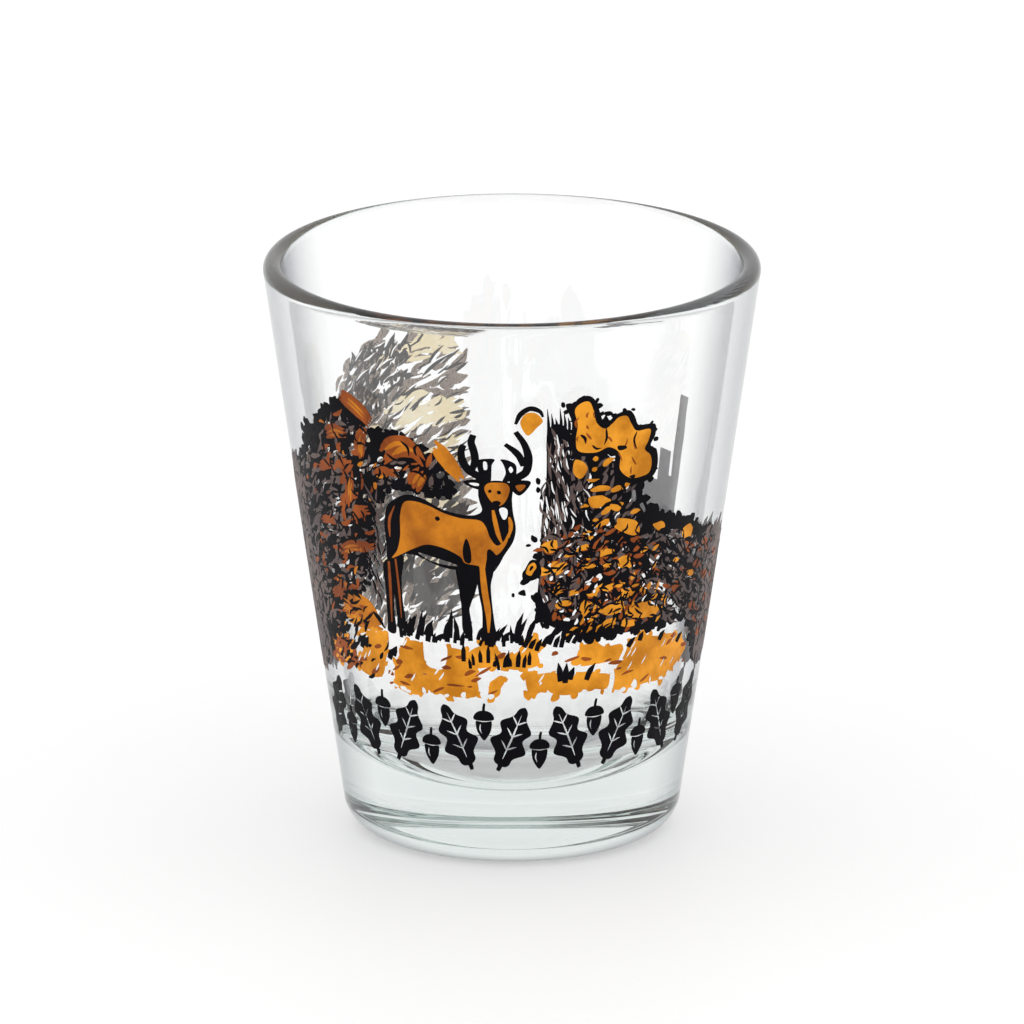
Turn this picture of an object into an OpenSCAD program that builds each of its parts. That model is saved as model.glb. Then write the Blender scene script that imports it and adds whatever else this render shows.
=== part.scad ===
// Souvenir shot glass: a heavy-based pressed tumbler with a printed autumn scene
// in fired enamel. The front of the scene faces -Y, +X is to the viewer's right,
// and the resting ring stands on Z = 0.

/* [Tumbler] */
// Height from the resting ring to the top of the lip
glass_h = 57; // [55:0.5:64]
// Diameter of the outer cone where it meets the plane of the lip
mouth_d = 48.6; // [46:0.1:54]
// Diameter of the outer cone where it meets the resting plane
foot_d = 32; // [31:0.1:38]
// Radius of the fully rounded lip
lip_r = 1; // [0.8:0.1:1.2]
// Thickness of the wall at the corner of the cup's floor
wall_foot = 1.85; // [1.5:0.05:2.4]

/* [Base] */
// Height of the lowest point of the cup's floor
floor_z = 6; // [4:0.5:10]
// Radius of the rounded corner between the cup's wall and floor
corner_r = 8; // [6:0.5:9]
// How far the dished floor rises from its centre to its corner
dish_rise = 2.5; // [1.5:0.1:3]
// Radius of the rounded heel
heel_r = 3.4; // [2:0.1:4]
// Radius of the hollow under the base
punt_r = 12; // [8:0.1:12]
// Depth of the hollow under the base
punt_depth = 1.4; // [0.5:0.1:2]

/* [Print] */
// Thickness of the fired enamel
enamel_t = 0.05; // [0.03:0.01:0.1]
// Radius on which the artwork's widths are measured
art_r = 20; // [19:0.5:22]
// Height of the middle of the leaf border
border_z = 14; // [13.5:0.1:14]
// Number of leaves in the border
border_leaves = 9; // [7:1:9]
// Length of one border leaf
leaf_len = 6.8; // [5:0.1:7]
// Width of one border leaf
leaf_w = 3.4; // [2.6:0.1:3.6]

/* [Hidden] */
$fn = 144;
foot_r = foot_d / 2;
mouth_r = mouth_d / 2;
lean = atan((mouth_r - foot_r) / glass_h);
heel_x = foot_r - heel_r * (1 - sin(lean)) / cos(lean);
lip_z = glass_h - lip_r;
lip_x = cone_r(lip_z) - lip_r / cos(lean);
// The cup's wall runs from the lip down to the corner of the floor
wall_end_x = cone_r(floor_z + dish_rise) - wall_foot;
cup_lean = atan((lip_x - lip_r - wall_end_x) / (lip_z - floor_z - dish_rise));
lip_in = [lip_x - lip_r * cos(cup_lean), lip_z + lip_r * sin(cup_lean)];
corner_z = floor_z + dish_rise + corner_r;
corner_x = lip_in.x - (lip_in.y - corner_z) * tan(cup_lean) - corner_r / cos(cup_lean);
corner_wall = [corner_x + corner_r * cos(cup_lean), corner_z - corner_r * sin(cup_lean)];
// The dished floor is a sphere that meets the corner's circle smoothly
corner_up = dish_rise + corner_r;
dish_r = (corner_x ^ 2 + corner_up ^ 2 - corner_r ^ 2) / (2 * dish_rise);
dish_grow = dish_r / (dish_r - corner_r);
corner_floor = [corner_x * dish_grow, floor_z + dish_r - (dish_r - corner_up) * dish_grow];
// The hollow under the base is a shallow sphere
punt_ball_r = (punt_r ^ 2 + punt_depth ^ 2) / (2 * punt_depth);

function cone_r(z) = foot_r + (mouth_r - foot_r) * z / glass_h;

// ---- Drawing on the glass: points are [distance round the front, height] ----

// Each print is projected straight at the place it faces, which is $facing round the front

print_low_z = 9;
print_high_z = 51;
loop_steps = 3;

function turn_of(u) = u / art_r * 180 / PI;

function on_cone(p) = [cone_r(p.y) * sin(turn_of(p.x - $facing)), p.y];

function spline(a, b, c, d, t) =
    b + (c - a) * t / 2
    + (2 * a - 5 * b + 4 * c - d) * t ^ 2 / 2
    + (3 * b - a - 3 * c + d) * t ^ 3 / 2;

function smooth_loop(p) = let (n = len(p))
    [for (i = [0:n - 1], s = [0:loop_steps - 1])
        spline(p[(i + n - 1) % n], p[i], p[(i + 1) % n], p[(i + 2) % n], s / loop_steps)];

function side(p, i) = let (n = len(p), d = p[min(i + 1, n - 1)] - p[max(i - 1, 0)])
    [-d.y, d.x] / norm(d);

function stroke_loop(p, w) = let (n = len(p))
    [for (i = [0:n - 1]) p[i] + side(p, i) * w / 2,
     for (i = [n - 1:-1:0]) p[i] - side(p, i) * w / 2];

module blob(points) polygon([for (p = smooth_loop(points)) on_cone(p)]);

module block(points) polygon([for (p = points) on_cone(p)]);

module stroke(points, w) block(stroke_loop(points, w));

// A tuft of foliage: a round patch with a wavy edge
module tuft(at, r) {
    lobes = 5;
    wave = 0.16;
    blob([for (k = [0:2 * lobes - 1])
        at + r * (1 + (k % 2 == 0 ? wave : -wave))
            * [cos(180 * k / lobes), sin(180 * k / lobes)]]);
}

module tufts(list) for (t = list) tuft([t.x, t.y], t.z);

module enamel_shell() rotate_extrude() polygon([
    [cone_r(print_low_z), print_low_z],
    [cone_r(print_low_z) + enamel_t, print_low_z],
    [cone_r(print_high_z) + enamel_t, print_high_z],
    [cone_r(print_high_z), print_high_z]
]);

module front_film(facing = 0) {
    $facing = facing;
    rotate([0, 0, turn_of(facing)]) intersection() {
        enamel_shell();
        rotate([90, 0, 0]) linear_extrude(height = mouth_d) children();
    }
}

module back_film(facing = 0) mirror([0, 1, 0]) front_film(facing) children();

// ---- Glass ----

module tumbler_profile() difference() {
    union() {
        polygon([
            [0, 0],
            [heel_x, 0],
            [heel_x + heel_r * cos(lean), heel_r - heel_r * sin(lean)],
            [lip_x + lip_r * cos(lean), lip_z - lip_r * sin(lean)],
            lip_in,
            corner_wall,
            corner_floor,
            [0, corner_floor.y]
        ]);
        translate([heel_x, heel_r]) circle(heel_r);
        translate([lip_x, lip_z]) circle(lip_r);
    }
    translate([corner_x, corner_z]) circle(corner_r);
    intersection() {
        translate([0, floor_z + dish_r]) circle(dish_r);
        square(corner_floor);
    }
    translate([0, punt_depth - punt_ball_r]) circle(punt_ball_r);
}

module glass_tumbler() color("lightcyan", 0.4) rotate_extrude() tumbler_profile();

// ---- Stag ----

module stag_body_shape() blob([
    [-12.3, 34], [-12.3, 36.8], [-11.2, 38.4], [-9.4, 38.8], [-7, 38.1], [-4.8, 37.4],
    [-3.3, 37.4], [-2.8, 38.8], [-2.8, 40.6], [-1.5, 41.3], [-0.2, 40.6], [0.2, 37],
    [-0.2, 34.4], [-1.2, 32.4], [-2.4, 31], [-4.6, 31], [-7, 32.2], [-9.4, 32.6], [-11, 31]
]);

module stag_coat_shape() blob([
    [-10.6, 34.4], [-10.8, 36.6], [-10.2, 37.7], [-8.8, 38], [-6.6, 37.4], [-4.4, 36.8],
    [-2.4, 37.2], [-2.1, 38.8], [-2.2, 40.2], [-1.5, 40.6], [-0.8, 40.2], [-0.9, 38.6],
    [-0.6, 36.6], [-0.9, 34.6], [-2, 32.4], [-3.6, 32.2], [-6, 33.4], [-8.6, 34], [-10, 33.4]
]);

module stag_legs_shape() {
    block([[-12.4, 34], [-12.2, 29], [-12.5, 24], [-11.6, 24], [-11.3, 29], [-10.6, 32]]);
    block([[-11, 31.6], [-10.9, 28], [-11.1, 25], [-10.4, 25], [-10.2, 28], [-9.6, 32.2]]);
    block([[-5, 31.6], [-4.7, 28], [-4.9, 25.2], [-4, 25.2], [-3.7, 28], [-3.4, 31.4]]);
    block([[-3.3, 31.2], [-2.9, 28], [-2.8, 24.6], [-1.7, 24.6], [-2, 28], [-1.9, 31.4]]);
}

module stag_antlers_shape() {
    stroke([[-2, 40.8], [-3.3, 41.7], [-4.1, 42.8], [-4.3, 44.2], [-3.5, 45.6]], 0.6);
    stroke([[-1, 40.8], [0.4, 41.6], [1.1, 42.8], [1.1, 44.3], [0.3, 46]], 0.6);
    stroke([[-2, 41], [-2.7, 42.2], [-2.4, 43.5]], 0.5);
    stroke([[-1, 41], [-0.2, 42.2], [-0.7, 43.4]], 0.5);
}

module stag_ears_shape() {
    blob([[-2.4, 40.2], [-3.4, 40.3], [-4.2, 40.9], [-3.2, 41.1], [-2.4, 40.9]]);
    blob([[-0.6, 40.2], [0.4, 40.2], [1.3, 40.6], [0.4, 41], [-0.6, 40.9]]);
}

module stag_shape() {
    stag_body_shape();
    stag_legs_shape();
    stag_antlers_shape();
    stag_ears_shape();
}

module stag_orange() color("darkorange") front_film() stag_coat_shape();

module stag_black() color("black") front_film() difference() {
    stag_shape();
    stag_coat_shape();
}

// ---- Trees on either side of the stag, running round the sides of the glass ----

left_tree_u = -18;
right_tree_u = 15;

module left_tree_shape() blob([
    [-30, 18.8], [-30.6, 24], [-30.4, 31], [-29.4, 37], [-26, 40.6], [-23.2, 42.4],
    [-20.8, 44.6], [-18.4, 47], [-15.6, 48.2], [-13, 47.2], [-12, 45.4], [-9, 45.2],
    [-5.8, 44.2], [-5.4, 42], [-6, 40.2], [-9, 39.9], [-12, 39.6], [-13.2, 37],
    [-13.4, 33], [-14.6, 29.6], [-16, 26.6], [-19.6, 25.8], [-23.2, 24.2], [-24.6, 21.2],
    [-26.2, 19]
]);

module left_tree_orange_shape() tufts([
    [-15.2, 46.4, 1.5], [-17.8, 43.8, 1.2], [-14.6, 42.6, 1], [-10.4, 43.4, 1.3],
    [-7.2, 43.2, 0.9], [-16.6, 39.8, 1.1], [-20.4, 40.6, 1], [-15.8, 36, 1.1],
    [-19.8, 35.4, 1], [-17.6, 31.8, 1.1], [-21.6, 30.4, 1], [-19, 28, 1.1],
    [-25.2, 37.2, 1.1], [-24.8, 32.4, 1.1], [-27.8, 29.4, 1], [-25.8, 25.2, 1.1]
]);

module left_tree_orange() color("darkorange") front_film(left_tree_u) left_tree_orange_shape();

module left_tree_black() color("black") front_film(left_tree_u) difference() {
    left_tree_shape();
    left_tree_orange_shape();
}

module right_tree_shape() {
    block([[2.8, 27], [3, 47.6], [4.2, 49], [5.4, 47], [6, 27]]);
    blob([
        [4.4, 40], [4.6, 46.6], [6.2, 49.6], [8.2, 47.4], [10, 47.6], [12.6, 45.8],
        [13.4, 42.6], [13, 39], [15.6, 36.4], [19.2, 34.6], [21.8, 32.8], [26, 31.8],
        [29.4, 29.6], [30, 24.6], [29.6, 18.8], [26.6, 18.6], [23.8, 19.4], [22.6, 22.4],
        [20.2, 25], [16, 25.8], [10, 25.6], [4.6, 26], [2.6, 29], [1.2, 31.4], [2.6, 34.2]
    ]);
}

module right_tree_orange_shape() {
    tuft([1.6, 47.6], 1.2);
    blob([
        [6, 44], [5.8, 46.6], [6.4, 48.8], [8, 46.8], [9.8, 47], [12, 45.2],
        [12.6, 42.6], [11.8, 40.4], [9.8, 41.8], [8.4, 43.8]
    ]);
    tufts([
        [8.4, 38.8, 1.1], [11.4, 35.4, 1.2], [7.6, 34.6, 1], [14.6, 33.6, 1],
        [18.6, 32.4, 1], [4.6, 31.4, 1], [10.4, 31.6, 1.1], [14.2, 29.4, 1.1],
        [7.2, 28, 1], [18, 28.6, 1], [22.6, 29, 1.1], [26.4, 27.8, 1.1], [25.4, 22.8, 1.1]
    ]);
}

module right_tree_orange() color("darkorange") front_film(right_tree_u) right_tree_orange_shape();

module right_tree_black() color("black") front_film(right_tree_u) difference() {
    right_tree_shape();
    right_tree_orange_shape();
}

// ---- Ground and grass ----

module ground_shape() {
    blob([[-23, 20], [-22.4, 22.6], [-19, 24.2], [-15.4, 24.2], [-14, 22], [-14.4, 19.2], [-18.6, 19.4]]);
    blob([[-13, 19.4], [-12.6, 23], [-9.4, 23.2], [-8.2, 21.2], [-6.6, 23], [-3.8, 22], [-3.6, 18.4],
          [-8, 18]]);
    blob([[-3, 21.4], [-2.6, 23.8], [1.2, 24], [2.8, 23], [2, 21.2]]);
    blob([[-2.4, 18.4], [-1.8, 20], [-0.8, 20.4], [-1.2, 18.8]]);
    blob([[1.4, 20.4], [2.4, 20.2], [2.8, 18.4], [1.9, 18]]);
    blob([[3.4, 18.6], [3.4, 20.6], [6.6, 20.8], [7.4, 23.2], [10, 23], [10.2, 20.4], [9.8, 18.4]]);
    blob([[11, 18.4], [11.2, 22.8], [14.6, 23.2], [18.6, 23], [21, 20.8], [19.8, 18.6], [15.4, 17.8]]);
}

// One tuft of grass: three blades that fan out from a root
module grass_tuft(at, h) {
    fan = 0.3;
    blade_w = 0.55;
    for (k = [-1:1]) block([
        at + [k * blade_w - blade_w / 2, 0],
        at + [k * (blade_w + fan * h), h * (1 - abs(k) / 4)],
        at + [k * blade_w + blade_w / 2, 0]
    ]);
}

module grass_shape() {
    tuft_gap = 2.3;
    for (k = [0:3]) grass_tuft([-8.6 + k * tuft_gap, 24.4], 2.2 + (k % 2) * 0.6);
}

module ground_orange() color("darkorange") front_film() ground_shape();

module grass_black() color("black") front_film() difference() {
    grass_shape();
    ground_shape();
    stag_shape();
}

// ---- Leaf border round the foot of the scene ----

border_span = 2.7 * art_r;
border_pitch = border_span / border_leaves;

// Half outline of a lobed leaf, from its stalk to its tip
function leaf_half(t) = leaf_w / 2 * sin(180 * t ^ 0.8) ^ 0.7 * (1 + 0.22 * sin(360 * 3 * t + 90));

module border_leaf(at, tilt) {
    steps = 24;
    edge = [for (i = [1:steps - 1]) let (t = i / steps) [leaf_half(t), (t - 0.5) * leaf_len]];
    stalk = [0.25, -leaf_len / 2 - 0.3];
    right = concat([stalk], edge, [[0, leaf_len / 2]]);
    left = [for (i = [len(right) - 2:-1:0]) [-right[i].x, right[i].y]];
    block([for (p = concat(right, left))
        at + [p.x * cos(tilt) - p.y * sin(tilt), p.x * sin(tilt) + p.y * cos(tilt)]]);
}

// An acorn: a rounded nut under a wider cup
module border_acorn(at) {
    blob([for (p = [[-0.75, 0.4], [-0.8, -0.8], [0, -1.9], [0.8, -0.8], [0.75, 0.4]]) at + p]);
    block([for (p = [[-1.05, 0.2], [-0.9, 0.9], [-0.25, 1.2], [-0.2, 1.9],
                     [0.2, 1.9], [0.25, 1.2], [0.9, 0.9], [1.05, 0.2]]) at + p]);
}

// Leaves lean left and right in turn; the acorns sit where two leaves part
module leaf_border_shape() {
    leaf_tilt = 24;
    acorn_shift = 1.5;
    for (k = [0:border_leaves - 1]) {
        u = (k + 0.5) * border_pitch - border_span / 2;
        border_leaf([u, border_z], k % 2 == 0 ? -leaf_tilt : leaf_tilt);
    }
    for (k = [1:border_leaves - 1]) {
        u = k * border_pitch - border_span / 2;
        border_acorn([u, border_z + (k % 2 == 0 ? acorn_shift : -acorn_shift)]);
    }
}

module leaf_border_black() color("black") front_film() leaf_border_shape();

// ---- Far side of the glass ----

far_tree_u = -13;
skyline_u = 21;

module far_tree_shape() blob([
    [-20.6, 27], [-20.4, 33], [-18.6, 38.6], [-16, 42.6], [-12.6, 45.2], [-8.6, 46.2],
    [-5.4, 45.6], [-5, 40], [-5, 30], [-5.2, 21], [-7.4, 16.6], [-12, 16], [-17, 19]
]);

module far_tree_straw_shape() tufts([
    [-8.2, 42.4, 1.7], [-12.4, 40.4, 1.7], [-8.6, 36.8, 1.8], [-14.8, 34.8, 1.7],
    [-10.6, 32, 1.6], [-7.8, 27.6, 1.6], [-15.2, 28.4, 1.7], [-11, 23.6, 1.7],
    [-16.6, 23, 1.4], [-8, 20.2, 1.5]
]);

module far_tree_straw() color("khaki") back_film(far_tree_u) far_tree_straw_shape();

module far_tree_black() color("dimgray") back_film(far_tree_u) difference() {
    far_tree_shape();
    far_tree_straw_shape();
}

module skyline_shape() block([
    [13.6, 24], [13.6, 30], [14.8, 31.6], [15.8, 31.4], [15.8, 33], [17, 33], [17, 34.4],
    [18.8, 34], [18.8, 32], [19.6, 32], [19.6, 39.4], [20.6, 40.4], [20.8, 29.6],
    [22.4, 29.4], [24.8, 28.8], [27.6, 27], [28, 24]
]);

module skyline_black() color("dimgray") back_film(skyline_u) skyline_shape();

// ---- Nodes ----

glass_tumbler();
stag_orange();
stag_black();
left_tree_orange();
left_tree_black();
right_tree_orange();
right_tree_black();
ground_orange();
grass_black();
leaf_border_black();
far_tree_straw();
far_tree_black();
skyline_black();
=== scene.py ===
import math
import random

import bpy
import numpy as np
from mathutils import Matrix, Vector
from mathutils.geometry import delaunay_2d_cdt


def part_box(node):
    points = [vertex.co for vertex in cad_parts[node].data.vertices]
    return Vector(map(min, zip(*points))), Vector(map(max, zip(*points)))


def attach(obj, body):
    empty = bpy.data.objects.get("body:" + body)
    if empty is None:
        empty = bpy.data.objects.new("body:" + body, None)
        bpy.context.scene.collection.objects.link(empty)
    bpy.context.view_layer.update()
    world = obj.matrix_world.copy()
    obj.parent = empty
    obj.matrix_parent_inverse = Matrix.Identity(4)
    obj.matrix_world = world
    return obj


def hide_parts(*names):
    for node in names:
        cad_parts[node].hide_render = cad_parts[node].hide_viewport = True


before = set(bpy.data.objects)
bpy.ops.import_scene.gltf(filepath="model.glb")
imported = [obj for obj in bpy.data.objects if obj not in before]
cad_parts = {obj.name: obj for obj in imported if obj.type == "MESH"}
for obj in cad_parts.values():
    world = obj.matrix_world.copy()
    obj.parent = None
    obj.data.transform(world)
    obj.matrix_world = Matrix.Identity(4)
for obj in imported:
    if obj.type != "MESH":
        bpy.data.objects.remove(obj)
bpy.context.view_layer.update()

# Souvenir shot glass: a pressed tumbler with an autumn scene printed on it in fired enamel.
# The glass and its artwork are drawn in millimetres; Blender's objects are in metres.

MM = 0.001
GLASS_LOW, GLASS_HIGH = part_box("glass_tumbler")
GLASS_H = (GLASS_HIGH.z - GLASS_LOW.z) / MM

# The tumbler's section, as the CAD model has it
MOUTH_R = 24.3
FOOT_R = 16.0
LIP_R = 1.0
WALL_FOOT = 1.85
FLOOR_Z = 6.0
DISH_RISE = 2.5
CORNER_R = 8.0
HEEL_R = 3.4
PUNT_R = 12.0
PUNT_DEPTH = 1.4
PUNT_EDGE = 0.6

# The artwork: widths are measured round the glass on this radius
ART_R = 20.0
INK_SUNK = 0.02
INK_PROUD = {"orange": 0.025, "rust": 0.025, "shade": 0.03, "black": 0.035,
             "straw": 0.025, "wash": 0.03, "grey": 0.035}
FRIEZE_Z = 14.0

# Light: the floor glows a little so that it matches the white sky
FLOOR_GLOW = 0.34
CAMERA_DISTANCE = 1.872
CAMERA_ELEVATION = 16.64
CAMERA_LENS = 676.4
CAMERA_SHIFT = 0.0273
LIGHT_BOUNCES = 40

# ---------------------------------------------------------------- flat drawing


def spline_point(a, b, c, d, t):
    """A point on the Catmull-Rom curve between b and c."""
    return (b + (c - a) * t / 2 + (2 * a - 5 * b + 4 * c - d) * t * t / 2
            + (3 * b - a - 3 * c + d) * t ** 3 / 2)


def smooth(points, steps=5):
    """A smooth closed outline through the points."""
    p = np.array(points, float)
    n = len(p)
    return np.array([
        spline_point(p[i - 1], p[i], p[(i + 1) % n], p[(i + 2) % n], s / steps)
        for i in range(n) for s in range(steps)
    ])


def smooth_path(points, steps=5):
    """A smooth open path through the points."""
    p = np.array(points, float)
    p = np.vstack([2 * p[0] - p[1], p, 2 * p[-1] - p[-2]])
    out = [
        spline_point(p[i - 1], p[i], p[i + 1], p[i + 2], s / steps)
        for i in range(1, len(p) - 2) for s in range(steps)
    ]
    return np.array(out + [p[-2]])


def stroke(points, width, start=0.35, end=0.15):
    """The outline of a brush stroke: full width in the middle, start and end as shares of it."""
    p = smooth_path(points)
    d = np.gradient(p, axis=0)
    d /= np.maximum(np.linalg.norm(d, axis=1, keepdims=True), 1e-9)
    side = np.stack([-d[:, 1], d[:, 0]], axis=1)
    t = np.linspace(0, 1, len(p))
    shape = np.interp(t, [0, 0.25, 0.6, 1], [start, 1, 1, end]) * width / 2
    return np.vstack([p + side * shape[:, None], (p - side * shape[:, None])[::-1]])


def turned(loop, angle, at=(0, 0)):
    """The outline turned by an angle in degrees, then moved."""
    a = math.radians(angle)
    x, y = loop[:, 0], loop[:, 1]
    return np.stack([
        x * math.cos(a) - y * math.sin(a) + at[0],
        x * math.sin(a) + y * math.cos(a) + at[1],
    ], axis=1)


def patch(rng, at, size, angle=0.0, lobes=4, wave=0.24):
    """A leafy patch: an oval with an uneven edge."""
    n = lobes + 4
    pts = []
    for k in range(n):
        a = 2 * math.pi * (k + rng.uniform(-0.25, 0.25)) / n
        r = 1 + rng.uniform(-wave, wave)
        pts.append((r * math.cos(a) * size[0] / 2, r * math.sin(a) * size[1] / 2))
    return turned(smooth(pts, 3), angle, at)


def patches(d, rng, ink, rows, lobes=3, wave=0.24):
    """Paints leafy patches in one ink; each row is (across, up, width, height, tilt)."""
    for u, z, w, h, tilt in rows:
        d.paint(ink, patch(rng, (u, z), (w, h), tilt, lobes, wave))


def inside(loop, points):
    """True for each point inside the closed outline."""
    x, y = points[:, 0], points[:, 1]
    low, high = loop.min(0), loop.max(0)
    near = np.nonzero((x >= low[0]) & (x <= high[0]) & (y >= low[1]) & (y <= high[1]))[0]
    result = np.zeros(len(points), bool)
    if len(near) == 0:
        return result
    px, py = x[near, None], y[near, None]
    x0, y0 = loop[:, 0], loop[:, 1]
    x1, y1 = np.roll(x0, -1), np.roll(y0, -1)
    crosses = (y0 > py) != (y1 > py)
    with np.errstate(divide="ignore", invalid="ignore"):
        at_x = (x1 - x0) * (py - y0) / (y1 - y0) + x0
    result[near] = np.sum(crosses & (px < at_x), axis=1) % 2 == 1
    return result


class Drawing:
    """Flat artwork, painted in order: each shape covers what lies under it."""

    GRID_U = 0.9
    GRID_Z = 2.5

    def __init__(self):
        self.shapes = []

    def paint(self, ink, *loops):
        """Adds closed outlines in one ink; ink None wipes down to the bare glass."""
        for loop in loops:
            self.shapes.append((np.asarray(loop, float), ink))

    def triangles(self):
        """The painted areas as flat triangles: all points, and the triangles of each ink."""
        verts, edges = [], []
        for loop, _ in self.shapes:
            first = len(verts)
            verts += [Vector(p) for p in loop]
            edges += [(first + i, first + (i + 1) % len(loop)) for i in range(len(loop))]
        everything = np.vstack([loop for loop, _ in self.shapes])
        low, high = everything.min(0), everything.max(0)
        for u in np.arange(low[0] + self.GRID_U / 2, high[0], self.GRID_U):
            for z in np.arange(low[1] + self.GRID_Z / 2, high[1], self.GRID_Z):
                verts.append(Vector((u, z)))
        out = delaunay_2d_cdt(verts, edges, [], 0, 1e-5)
        points = np.array([tuple(v) for v in out[0]])
        faces = np.array(out[2])
        centres = points[faces].mean(axis=1)
        ink_of = np.full(len(faces), None, dtype=object)
        for loop, ink in self.shapes:
            ink_of[inside(loop, centres)] = ink
        return points, {
            ink: faces[ink_of == ink] for ink in set(ink_of) if ink is not None
        }


# ---------------------------------------------------------------- on the glass


def cone_r(z):
    """Outer radius of the tapered wall at a height."""
    return FOOT_R + (MOUTH_R - FOOT_R) * z / GLASS_H


def on_glass(points, out, far):
    """Flat points wrapped on the glass, this far out from its surface; far puts them behind."""
    a = points[:, 0] / ART_R
    r = cone_r(points[:, 1]) + out
    y = r * np.cos(a) if far else -r * np.cos(a)
    return np.stack([r * np.sin(a), y, points[:, 1]], axis=1) * MM


def mesh_object(name, verts, faces, material):
    mesh = bpy.data.meshes.new(name)
    mesh.from_pydata(verts, [], faces)
    mesh.update()
    mesh.materials.append(material)
    obj = bpy.data.objects.new(name, mesh)
    bpy.context.scene.collection.objects.link(obj)
    return obj


def ink_film(name, points, tris, proud, far, material):
    """A thin closed film over the painted triangles, sunk a little into the glass."""
    used, tris = np.unique(tris, return_inverse=True)
    tris = tris.reshape(-1, 3)
    flat = points[used]
    a, b, c = flat[tris[:, 0]], flat[tris[:, 1]], flat[tris[:, 2]]
    turn = (b[:, 0] - a[:, 0]) * (c[:, 1] - a[:, 1]) - (b[:, 1] - a[:, 1]) * (c[:, 0] - a[:, 0])
    clockwise = turn < 0
    tris[clockwise] = tris[clockwise][:, ::-1]
    if far:
        tris = tris[:, ::-1]
    n = len(flat)
    verts = np.vstack([on_glass(flat, proud, far), on_glass(flat, -INK_SUNK, far)])
    faces = [tuple(t) for t in tris] + [tuple(t[::-1] + n) for t in tris]
    directed = set()
    for t in tris:
        directed |= {(t[0], t[1]), (t[1], t[2]), (t[2], t[0])}
    faces += [(p, p + n, q + n, q) for p, q in directed if (q, p) not in directed]
    return mesh_object(name, verts.tolist(), [tuple(map(int, f)) for f in faces], material)


def print_drawing(drawing, films, far=False):
    """Prints each ink of a drawing as its own film in place of its CAD node.

    films maps an ink to (piece name, CAD node, material).
    """
    points, tris = drawing.triangles()
    for ink, (name, node, material) in films.items():
        piece = ink_film(name, points, tris[ink], INK_PROUD[ink], far, material)
        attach(piece, "root")
        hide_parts(node)


# ---------------------------------------------------------------- the tumbler


def arc(centre, r, start, end, steps):
    """Points on a circle from one angle to another, in radians."""
    a = np.linspace(start, end, steps + 1)
    return np.stack([centre[0] + r * np.cos(a), centre[1] + r * np.sin(a)], axis=1)


def straight(start, end, steps):
    """Points between two ends, without the ends themselves."""
    t = np.linspace(0, 1, steps + 1)[1:-1, None]
    return np.array(start) + (np.array(end) - np.array(start)) * t


def tumbler_section():
    """The glass's closed section from the middle of its underside to the middle of the cup."""
    lean = math.atan2(MOUTH_R - FOOT_R, GLASS_H)
    heel = (FOOT_R - HEEL_R * (1 - math.sin(lean)) / math.cos(lean), HEEL_R)
    lip_z = GLASS_H - LIP_R
    lip = (cone_r(lip_z) - LIP_R / math.cos(lean), lip_z)
    floor_edge = FLOOR_Z + DISH_RISE
    wall_end = cone_r(floor_edge) - WALL_FOOT
    cup_lean = math.atan2(lip[0] - LIP_R - wall_end, lip_z - floor_edge)
    lip_in = (lip[0] - LIP_R * math.cos(cup_lean), lip_z + LIP_R * math.sin(cup_lean))
    corner_z = floor_edge + CORNER_R
    corner = (
        lip_in[0] - (lip_in[1] - corner_z) * math.tan(cup_lean) - CORNER_R / math.cos(cup_lean),
        corner_z,
    )
    # The dished floor is a sphere that meets the corner's circle smoothly
    up = DISH_RISE + CORNER_R
    dish_r = (corner[0] ** 2 + up ** 2 - CORNER_R ** 2) / (2 * DISH_RISE)
    floor_turn = math.atan2(up - dish_r, corner[0])
    # The hollow underneath is a shallow sphere whose edge is softened
    punt_ball = (PUNT_R ** 2 + PUNT_DEPTH ** 2) / (2 * PUNT_DEPTH)
    r = np.linspace(0, PUNT_R + PUNT_EDGE, 40)
    punt_z = np.sqrt(punt_ball ** 2 - r ** 2) - (punt_ball - PUNT_DEPTH)
    soft = PUNT_EDGE * (PUNT_R / punt_ball) / 4
    punt_z = (punt_z + np.sqrt(punt_z ** 2 + 4 * soft ** 2)) / 2
    punt_z -= punt_z[-1]
    outer = arc(heel, HEEL_R, -math.pi / 2, -lean, 28)
    over = arc(lip, LIP_R, -lean, math.pi - cup_lean, 40)
    corner_arc = arc(corner, CORNER_R, -cup_lean, floor_turn, 28)
    dish = arc((0, FLOOR_Z + dish_r), dish_r, floor_turn, -math.pi / 2, 30)[1:]
    return np.vstack([
        np.stack([r, punt_z], axis=1),
        outer,
        straight(outer[-1], over[0], 60),
        over,
        straight(over[-1], corner_arc[0], 60),
        corner_arc,
        dish,
    ])


def tumbler(material):
    """The glass itself, turned from its section."""
    segments = 360
    section = tumbler_section()
    section[0, 0] = 0
    section[-1, 0] = 0
    verts, rings = [], []
    for r, z in section:
        if r == 0:
            rings.append([len(verts)] * segments)
            verts.append((0, 0, z * MM))
            continue
        rings.append(list(range(len(verts), len(verts) + segments)))
        for k in range(segments):
            a = 2 * math.pi * k / segments
            verts.append((r * math.cos(a) * MM, r * math.sin(a) * MM, z * MM))
    faces = []
    for low, high in zip(rings, rings[1:]):
        for k in range(segments):
            m = (k + 1) % segments
            face = list(dict.fromkeys([low[k], low[m], high[m], high[k]]))
            faces.append(face)
    glass = mesh_object("tumbler_glass", verts, faces, material)
    glass.data.shade_smooth()
    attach(glass, "root")
    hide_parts("glass_tumbler")


# ---------------------------------------------------------------- materials


def linear(r, g, b):
    """An 8-bit screen colour as linear light."""
    def one(v):
        v /= 255
        return v / 12.92 if v <= 0.04045 else ((v + 0.055) / 1.055) ** 2.4
    return (one(r), one(g), one(b), 1)


def node_material(name):
    material = bpy.data.materials.new(name)
    material.use_nodes = True
    tree = material.node_tree
    return material, tree, tree.nodes["Principled BSDF"]


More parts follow.
